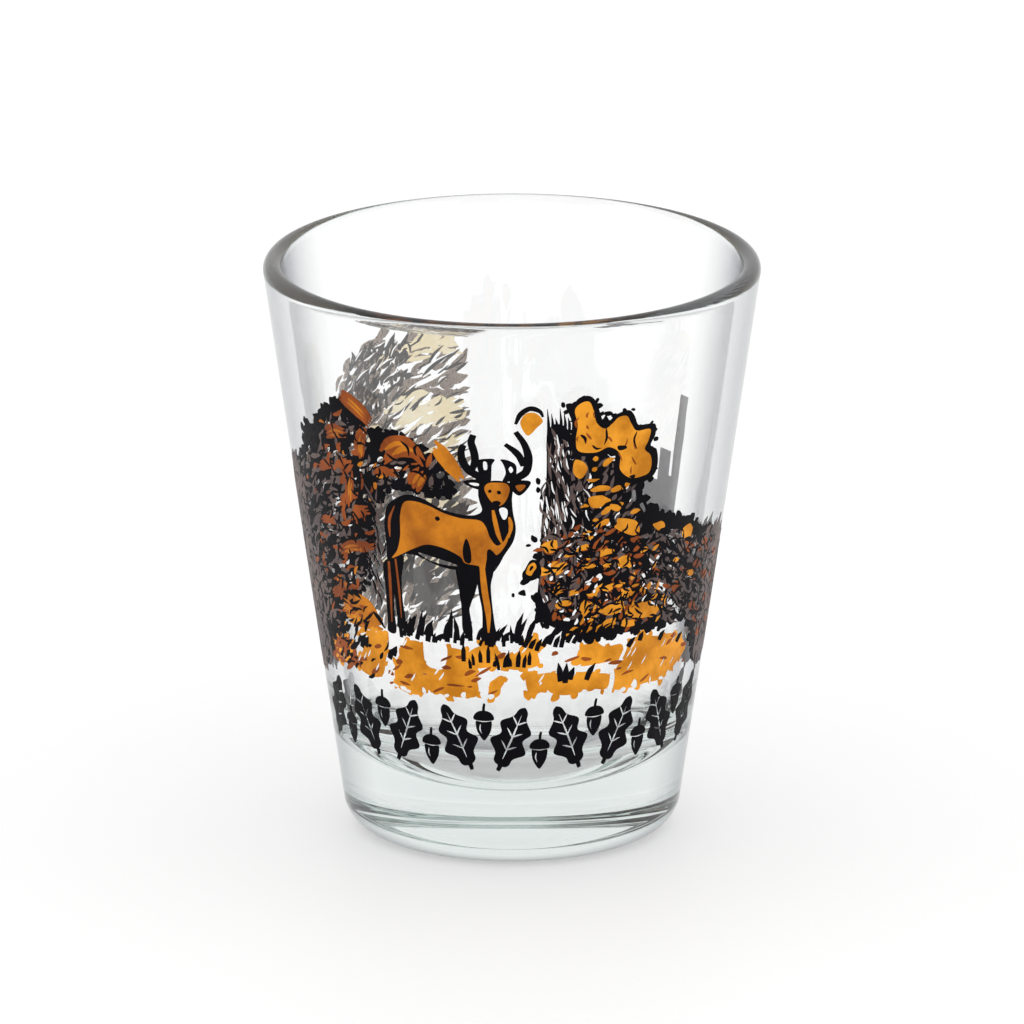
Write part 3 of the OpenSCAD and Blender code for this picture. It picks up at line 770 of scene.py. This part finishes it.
    # Crown: bright leaves inside a strong outline
    crown = [
        (4.5, 48.7), (5.2, 48.9), (5.7, 49.4), (6.5, 49.5), (7.1, 48.9), (7.5, 47.8), (7.8, 46.9),
        (8.1, 47.3), (8.5, 46.7), (9, 47.2), (10.2, 47.5), (10.8, 46.9), (11.3, 45.8), (12.2, 45.7),
        (13.1, 45.5), (13.2, 44.4), (12.8, 43.4), (13.5, 42.8), (13.8, 41.4), (13.5, 40.2),
        (12.2, 39.6), (10.6, 39.9), (9.2, 41.2), (9.2, 43), (7.6, 43.1), (5.6, 43.4), (5, 44.6),
        (5.1, 46.8)]
    d.paint("black", smooth(crown))
    leafy_edge(d, rng, crown, "black", 1, 0.55)
    lit = [
        (5.3, 48.1), (5.8, 48.8), (6.5, 48.9), (6.9, 48.1), (7.3, 46.6), (8.1, 45.9), (8.8, 46.4),
        (9.3, 46.9), (10.1, 46.9), (10.6, 46), (11.2, 45.2), (12.6, 45.1), (12.5, 43.9), (12.2, 43.1),
        (12.9, 42.3), (13.1, 41.2), (12.7, 40.4), (11, 40.3), (9.8, 41.4), (9.7, 43), (8.6, 43.9),
        (7.4, 43.5), (5.8, 43.8), (5.5, 45), (5.6, 46.6)]
    d.paint("orange", smooth(lit))
    d.paint("orange", smooth([(5.5, 42.9), (6.3, 42.6), (6.7, 41.8), (6.1, 40.9), (5.4, 41.6)]))
    inner = [(5.6, 44), (5.6, 48), (7, 48), (8, 45.4), (12.6, 44.6), (12.8, 41), (10.2, 41), (9, 44)]
    dabs(d, rng, inner, "rust", 12, (0.9, 0.16), 100, 30)
    d.paint("black",
            smooth([(9.4, 43.9), (10.2, 43.8), (10.3, 43.5), (9.6, 43.4)], 3),
            smooth([(10.8, 40.5), (11.4, 40.6), (11.3, 40.2)], 3),
            stroke([(5.9, 45.5), (6.3, 45.1), (6.4, 44.5)], 0.28),
            stroke([(8.2, 45.9), (8.3, 44.9), (8.1, 44.2)], 0.22),
            stroke([(7, 44.3), (7.4, 43.9), (7.9, 43.9)], 0.22),
            stroke([(11.2, 45.1), (11, 44.2), (11.4, 43.2)], 0.2))
    # Lone leaf beside the antlers
    d.paint("orange", smooth([
        (0.7, 47.2), (1.2, 48), (2, 48), (2.6, 47.2), (2.1, 46.5), (1.4, 45.7), (0.9, 46.3)]))
    d.paint("black", stroke([(0.3, 46.9), (0.7, 47.9), (1.5, 48.5), (2.3, 48.2), (2.6, 47.6)], 0.5, 0.5, 0.4))
    # Small loose leaves left of the trunk
    patches(d, rng, "black", [(1.9, 31.6, 2.3, 1.6, 65)], 4)
    patches(d, rng, "black", [
        (1.2, 30.4, 0.9, 0.6, 30), (2, 34.9, 0.5, 0.8, 25), (1.5, 34.2, 0.5, 0.35, 20),
        (1, 29.2, 0.7, 0.65, 0), (2, 28.7, 0.5, 0.6, 0), (0.1, 29, 0.3, 0.5, 0),
        (2.3, 40.9, 0.4, 0.9, 10), (2.3, 40, 0.45, 0.6, 0), (2.6, 39.2, 0.3, 0.5, 0)])
    d.paint("orange", patch(rng, (1.8, 31.7), (1.3, 0.8), 65, 3))
    d.paint("black", patch(rng, (1.8, 31.8), (0.5, 0.3), 65, 3))
    return d


# ---------------------------------------------------------------- ground, grass and border


def ground():
    """Fallen leaves: ragged blocks of orange, flecked with rust and black."""
    rng = random.Random(5)
    d = Drawing()
    blocks = [
        [(-23.6, 19.6), (-23, 21.6), (-20.6, 22), (-18.6, 21.4), (-18.4, 19.6), (-21, 19)],
        [(-18, 19.2), (-17.2, 21), (-16, 22.9), (-14, 23.6), (-13.4, 22.4), (-13.9, 20.8), (-14.6, 19),
         (-16.4, 18.6)],
        [(-12.9, 19), (-12.7, 20.6), (-11.8, 22), (-11.2, 23.2), (-9.4, 23.3), (-9.1, 21.4), (-8.4, 20.8),
         (-7.2, 20.9), (-6.9, 22.9), (-5.4, 23.1), (-3.4, 22.4), (-3.6, 20.4), (-3.6, 18.3), (-6, 18),
         (-8.4, 18.2), (-10.4, 17.7), (-12.4, 18)],
        [(-4.4, 21.2), (-4.4, 22.8), (-2.2, 23.8), (-0.6, 22.6), (0.8, 23.2), (1.2, 24.2), (2.2, 24.5),
         (3.1, 23.8), (2.6, 22.8), (2.7, 21.6), (0.6, 21.1), (-1.6, 21.4)],
        [(-2.4, 18.2), (-2.2, 19.6), (-1.2, 20.5), (-0.7, 20.1), (-1.2, 19.1)],
        [(1.4, 20.8), (2.7, 20.7), (2.8, 19.2), (2.3, 18), (1.6, 18.9)],
        [(2.8, 20.4), (4.2, 20.7), (5.8, 20.2), (7.4, 20.8), (9, 20.2), (10.4, 19.8), (10.2, 18.4),
         (8.2, 18.6), (6.2, 18.2), (4, 18.6)],
        [(6.7, 21.6), (6.9, 23), (8.4, 23.6), (9.6, 22.9), (11.4, 22.8), (11.6, 21.4), (9.8, 21.2),
         (8.2, 21)],
        [(11, 18.3), (11.2, 20.4), (12, 21.4), (12.4, 23), (14.4, 23.3), (16.2, 22.8), (18.4, 22.6),
         (20.6, 21.6), (21.6, 20.2), (20, 19), (18, 18), (15.4, 18.1), (13, 18)]]
    for points in blocks:
        d.paint("orange", smooth(points))
        leafy_edge(d, rng, points, "orange", 1.7, 0.9)
    d.paint("rust", smooth(blocks[0]))
    leafy_edge(d, rng, blocks[0], "rust", 1.2, 0.9)
    dabs(d, rng, blocks[0], "orange", 12, (1.2, 0.4), 20, 20)
    dabs(d, rng, blocks[0] + blocks[1][:1], "black", 16, (1.2, 0.38), 30, 25)
    dabs(d, rng, blocks[1], "black", 7, (1, 0.3), 40, 25)
    verge = [(-21, 21.4), (-20.2, 23.6), (-16.6, 24.4), (-14, 24), (-14.6, 23.2), (-16.6, 22.4),
             (-18.2, 21.2)]
    dabs(d, rng, verge, "orange", 8, (1.5, 0.5), 10, 20, 0.6)
    dabs(d, rng, verge, "black", 14, (1.3, 0.36), 40, 35, 0.5)
    # Bare seams between the blocks
    d.paint(None,
            stroke([(2.6, 20.9), (5, 21.2), (7.4, 20.8), (10, 21), (12, 21.2)], 0.6, 1, 0.2),
            stroke([(10.5, 17.6), (10.8, 19.2), (10.6, 20.8)], 0.6, 1, 0.6),
            stroke([(-13.3, 17.6), (-13.4, 19.6), (-13.1, 21.2)], 0.5, 1, 0.5),
            stroke([(11.6, 21.2), (12.1, 22.4), (12, 23.6)], 0.4, 1, 0.8),
            smooth([(-9, 23.8), (-8.9, 21.6), (-7.9, 20.7), (-6.9, 21.2), (-6.7, 23.4)]))
    for at in scatter(rng, [(-22.6, 18.8), (-22.6, 22.6), (22, 22.6), (22, 18.8)], 46, 0.7):
        size = (rng.uniform(0.5, 1.8), rng.uniform(0.24, 0.5))
        d.paint("rust", patch(rng, at, size, rng.uniform(-15, 35), 4))
    for u in scatter_line(rng, -17.5, 20, 0.5, 2.2):
        z = 18 + rng.uniform(-0.1, 0.3)
        h = rng.uniform(0.3, 1.1)
        d.paint(None, patch(rng, (u, z), (rng.uniform(0.2, 0.9), h), rng.uniform(-20, 20), 3))
    for _ in range(26):
        u = rng.uniform(-22, 20)
        z = rng.uniform(19, 23)
        d.paint(None, stroke([(u, z), (u + 0.35, z + 0.45), (u + 0.6, z + 0.9)], 0.18))
    return d


def grass():
    """Pen strokes of grass round the stag's feet and over the fallen leaves."""
    rng = random.Random(7)
    d = Drawing()

    def tuft(u, z, lean, h, w):
        d.paint("black", stroke([(u, z), (u + lean * 0.35, z + h * 0.5), (u + lean, z + h)], w, 0.9, 0.1))

    for u in scatter_line(rng, -11.6, 1.4, 0.15, 0.75):
        z = 23.8 + rng.uniform(-0.3, 0.5)
        tuft(u, z, rng.uniform(-0.3, 1), rng.uniform(0.7, 2.9), rng.uniform(0.3, 0.6))
    tall = [
        (-10.8, 23.8, 1, 2.4), (-9.7, 24, 1.2, 2.5), (-6.2, 24.2, 0.3, 3), (-5.4, 24, -0.3, 2.4),
        (0.4, 24.6, 0.7, 2.5), (-0.9, 24, 0.8, 1.2), (0.3, 24.1, -0.5, 1.1)]
    for u, z, lean, h in tall:
        tuft(u, z, lean, h, 0.5)
    for k in range(15):
        u = 1.2 + k * 0.62
        tuft(u, 23.3 + rng.uniform(-0.3, 0.3) + k * 0.03, rng.uniform(0.3, 1.1), rng.uniform(1, 2), 0.5)
    for u in scatter_line(rng, -4.9, 1.2, 0.25, 0.8):
        z = 21.2 + rng.uniform(-0.3, 0.7)
        tuft(u, z, rng.uniform(-0.4, 0.6), rng.uniform(0.7, 2.1), rng.uniform(0.3, 0.5))
    among_leaves = [
        (5, 19.7, -0.3, 2), (5.5, 19.5, 0.1, 2.1), (6, 19.8, 0.4, 1.3), (7.8, 19.6, 0.9, 1.7),
        (-17.2, 21.4, 0.8, 1.6), (-16.6, 21.6, 0.6, 1.2), (-19.6, 22.6, 1, 0.8),
        (-13.4, 21, 0.9, 1.3), (-12.8, 21.4, 0.5, 1.1), (12.4, 22.4, 0.8, 0.9),
        (13.8, 22.8, 0.4, 0.9), (16.6, 22.3, 0.7, 0.9), (19.6, 21.4, 0.9, 0.8)]
    for u, z, lean, h in among_leaves:
        tuft(u, z, lean, h, 0.62)
    return d


def leaf_border():
    """A frieze of oak leaves and acorns under the scene."""
    d = Drawing()
    leaves = 9
    span = 54.0
    pitch = span / leaves
    length, width, tilt = 6.8, 3.4, 24
    t = np.linspace(0, 1, 44)[1:-1]
    half = width / 2 * np.sin(np.pi * t ** 0.8) ** 0.7 * (1 + 0.24 * np.sin(2 * np.pi * 3 * t + np.pi / 2))
    right = np.stack([half, (t - 0.5) * length], axis=1)
    leaf = np.vstack([[(0, -length / 2)], right, [(0, length / 2)], (right * (-1, 1))[::-1]])
    nut = smooth([(-0.72, 0.3), (-0.8, -0.7), (-0.4, -1.5), (0, -1.9), (0.4, -1.5), (0.8, -0.7), (0.72, 0.3)])
    cup = smooth([(-1.05, 0.3), (-0.95, 0.85), (-0.4, 1.2), (0.4, 1.2), (0.95, 0.85), (1.05, 0.3), (0, 0.15)])
    for k in range(leaves):
        at = ((k + 0.5) * pitch - span / 2, FRIEZE_Z)
        lean = -tilt if k % 2 == 0 else tilt
        stem = stroke([(0, -length / 2 - 0.5), (0.05, -length / 2 + 0.4), (0, 0)], 0.5, 0.8, 0.8)
        d.paint("black", turned(leaf, lean, at), turned(stem, lean, at))
        d.paint(None, turned(stroke([(0, -2.5), (0.05, 0), (0, 2.5)], 0.2), lean, at))
        for z in (-1.5, 0, 1.4):
            for side in (-1, 1):
                vein = stroke([(0, z), (side * 0.45, z + 0.4), (side * 0.9, z + 0.75)], 0.16, 0.6, 0.2)
                d.paint(None, turned(vein, lean, at))
    for k in range(1, leaves):
        up = 1.5 if k % 2 == 0 else -1.5
        at = (k * pitch - span / 2, FRIEZE_Z + up)
        stalk = stroke([(0, 1), (0.02, 1.5), (0.1, 2)], 0.3, 1, 0.8)
        d.paint("black", turned(nut, 0, at), turned(stalk, 0, at))
        d.paint(None, turned(stroke([(-1.1, 0.3), (0, 0.12), (1.1, 0.3)], 0.16, 1, 1), 0, at))
        d.paint("black", turned(cup, 0, at))
        d.paint(None, turned(stroke([(-0.35, -0.2), (-0.42, -0.7), (-0.25, -1.2)], 0.14), 0, at))
    return d


# ---------------------------------------------------------------- far side


def far_tree():
    """A feathery wooded hill on the far side, drawn in washes and fine strokes."""
    rng = random.Random(31)
    d = Drawing()
    hill = [
        (-21, 21), (-21.4, 28), (-21.6, 34), (-20.6, 40), (-18.4, 42.8), (-15.4, 43.8), (-12, 44),
        (-8.4, 43.2), (-5.8, 42.8), (-4.7, 39.4), (-4.7, 33), (-4.8, 26), (-4.8, 18), (-7, 15.6), (-12, 15.4),
        (-17, 17)]
    top = [(-19.6, 38.6), (-18, 42.6), (-15, 43.7), (-10.6, 43.8), (-10.4, 40), (-13, 37.6), (-17, 37)]
    foot = [(-20, 21), (-20, 28), (-16, 30), (-12, 29.6), (-7.4, 30), (-5.4, 28), (-5.4, 18.6), (-12, 16.4)]
    dabs(d, rng, hill, "wash", 420, (2.2, 0.8), 25, 25, 0.45)
    tints = [
        (-9.6, 37.2, 4.6, 2.4, 15), (-7, 36.4, 3.4, 2.4, 10), (-9.6, 42.4, 3.4, 1.6, 10),
        (-6.8, 42.4, 2.4, 1.2, -5), (-12.6, 42, 2.2, 1.4, 30), (-6.4, 32.6, 2.6, 1.8, 15),
        (-10.6, 32.4, 3, 1.6, 20), (-15.6, 34.6, 2.6, 2, 20), (-7.6, 27.4, 2.6, 1.4, 20),
        (-18, 30, 2.6, 2, 20), (-8.4, 21.6, 3, 1.4, 15), (-14.4, 22.6, 3, 1.6, 15)]
    for u, z, w, h, tilt in tints:
        left, right, low, high = u - w / 2, u + w / 2, z - h / 2, z + h / 2
        area = [(left, low), (left, high), (right, high), (right, low)]
        dabs(d, rng, area, "straw", 9, (w * 0.75, h * 0.42), tilt, 15, 0.3)
    # Long bare slashes across the hill, then the pen strokes
    slashes = [
        (-12.6, 39.4, 3.6), (-8, 39.6, 5), (-7.4, 41, 4), (-12.4, 41.6, 2.6), (-11, 35, 4),
        (-15.4, 37.4, 3), (-7.4, 30.4, 3.6), (-13.6, 31, 3.4), (-17, 33, 3)]
    for u, z, length in slashes:
        d.paint(None, stroke([(u - length / 2, z - 0.8), (u, z), (u + length / 2, z + 1)], 0.5, 0.4, 0.1))
    dabs(d, rng, top, "grey", 130, (1.1, 0.4), 65, 45, 0.35)
    dabs(d, rng, hill, "grey", 230, (1.9, 0.26), 28, 20, 0.5)
    dabs(d, rng, foot, "grey", 150, (1.9, 0.9), 35, 30, 0.5)
    upper = top + [(-5.2, 41), (-5.2, 32), (-20, 31)]
    dabs(d, rng, upper, None, 60, (1.6, 0.24), 28, 20, 0.7)
    dabs(d, rng, foot, None, 14, (1.4, 0.22), 28, 20, 0.7)
    d.paint("grey", stroke([(-8.9, 39.9), (-7.6, 40.8), (-5.8, 41.8)], 0.34))
    return d


def skyline():
    """Plain block towers beside a dark hill, far off."""
    rng = random.Random(41)
    d = Drawing()
    towers = [
        (13.6, 15.4, 30.4), (15.2, 16.4, 31.8), (16.2, 17.4, 31), (17.2, 19.1, 34.2),
        (19, 19.9, 31.8), (19.6, 21.1, 40)]
    for left, right, top in towers:
        d.paint("grey", np.array([(left, 24.4), (right, 24.4), (right, top), (left, top)]))
    hill = [(20.6, 24.2), (20.8, 27.4), (22.4, 27.8), (24.8, 28.8), (27.4, 29.2), (29.4, 28.4), (29.8, 24.4),
            (29, 20.6), (25, 20.4), (21.6, 21.6)]
    d.paint("grey", smooth(hill))
    leafy_edge(d, rng, hill, "grey", 0.9, 0.7)
    veins(d, rng, hill, None, 30, 1.6, 0.22)
    return d


# ---------------------------------------------------------------- set and camera


def studio():
    """A pale, faintly glowing light-table floor under an even white sky."""
    size = 3.0
    material, tree, shader = node_material("floor")
    grain = noise(tree, 3, 2.0)
    tone = ramp(tree, grain.outputs["Fac"], [(0.3, (0.66,) * 3 + (1,)), (0.7, (0.70,) * 3 + (1,))])
    tree.links.new(tone, shader.inputs["Base Color"])
    shader.inputs["Roughness"].default_value = 0.6
    shader.inputs["Emission Color"].default_value = (1, 1, 1, 1)
    shader.inputs["Emission Strength"].default_value = FLOOR_GLOW
    floor = mesh_object("floor", [(-size, -size, 0), (size, -size, 0), (size, size, 0), (-size, size, 0)],
                        [(0, 1, 2, 3)], material)
    world = bpy.data.worlds.new("studio")
    world.use_nodes = True
    world.node_tree.nodes["Background"].inputs["Color"].default_value = (1, 1, 1, 1)
    world.node_tree.nodes["Background"].inputs["Strength"].default_value = 1.0
    bpy.context.scene.world = world
    bpy.context.scene.view_settings.view_transform = "Standard"


def camera():
    """A long lens, a little above the glass and straight in front of it."""
    elevation = math.radians(CAMERA_ELEVATION)
    data = bpy.data.cameras.new("camera")
    data.sensor_width = 36
    data.lens = CAMERA_LENS
    data.shift_y = CAMERA_SHIFT
    data.clip_end = 10
    cam = bpy.data.objects.new("camera", data)
    bpy.context.scene.collection.objects.link(cam)
    cam.location = (0, -CAMERA_DISTANCE * math.cos(elevation),
                    GLASS_H / 2 * MM + CAMERA_DISTANCE * math.sin(elevation))
    cam.rotation_euler = (math.pi / 2 - elevation, 0, 0)
    bpy.context.scene.camera = cam


def long_light_paths():
    """Light bounces many times inside the heavy base before it comes out."""
    paths = bpy.context.scene.cycles
    paths.max_bounces = LIGHT_BOUNCES
    paths.transmission_bounces = LIGHT_BOUNCES
    paths.glossy_bounces = LIGHT_BOUNCES
    paths.transparent_max_bounces = 16


camera()
studio()
long_light_paths()
tumbler(glass_material())

ORANGE = ink_material("orange_enamel", linear(242, 160, 38), linear(192, 118, 8), 0.16)
COAT = ink_material("coat_enamel", linear(208, 126, 20), linear(158, 86, 6), 0.16)
RUST = ink_material("rust_enamel", linear(160, 80, 26), linear(118, 54, 16), 0.12)
SHADE = ink_material("shade_enamel", linear(104, 86, 80), linear(72, 60, 60), 0.2)
BLACK = ink_material("black_enamel", linear(9, 7, 14), linear(4, 3, 7), 0.06)
STRAW = ink_material("straw_enamel", linear(255, 243, 212), linear(250, 232, 188), 0.3, 0.88, (0.12, 0.24))
WASH = ink_material("wash_enamel", linear(216, 198, 184), linear(188, 168, 154), 0.3, 0.5, (0.2, 0.4))
STROKE_GREY = ink_material("grey_enamel", linear(114, 106, 103), linear(86, 79, 78), 0.2)
TOWER_GREY = ink_material("tower_enamel", linear(200, 198, 203), linear(182, 178, 182), 0.2)

print_drawing(stag(), {
    "orange": ("stag_coat", "stag_orange", COAT),
    "rust": ("stag_shading", "stag_orange", RUST),
    "black": ("stag_outline", "stag_black", BLACK)})
print_drawing(left_tree(), {
    "orange": ("left_tree_bright_leaves", "left_tree_orange", COAT),
    "rust": ("left_tree_leaves", "left_tree_orange", RUST),
    "shade": ("left_tree_shading", "left_tree_black", SHADE),
    "black": ("left_tree_foliage", "left_tree_black", BLACK)})
print_drawing(right_tree(), {
    "orange": ("right_tree_leaves", "right_tree_orange", ORANGE),
    "rust": ("right_tree_dark_leaves", "right_tree_orange", RUST),
    "shade": ("right_tree_shading", "right_tree_black", SHADE),
    "black": ("right_tree_foliage", "right_tree_black", BLACK)})
print_drawing(ground(), {
    "orange": ("fallen_leaves", "ground_orange", ORANGE),
    "rust": ("fallen_dark_leaves", "ground_orange", RUST),
    "black": ("fallen_leaf_shading", "grass_black", BLACK)})
print_drawing(grass(), {"black": ("grass_strokes", "grass_black", BLACK)})
print_drawing(leaf_border(), {"black": ("oak_leaf_border", "leaf_border_black", BLACK)})
print_drawing(far_tree(), {
    "straw": ("far_hill_tint", "far_tree_straw", STRAW),
    "wash": ("far_hill_wash", "far_tree_straw", WASH),
    "grey": ("far_hill_strokes", "far_tree_black", STROKE_GREY)}, far=True)
print_drawing(skyline(), {"grey": ("skyline_towers", "skyline_black", TOWER_GREY)}, far=True)
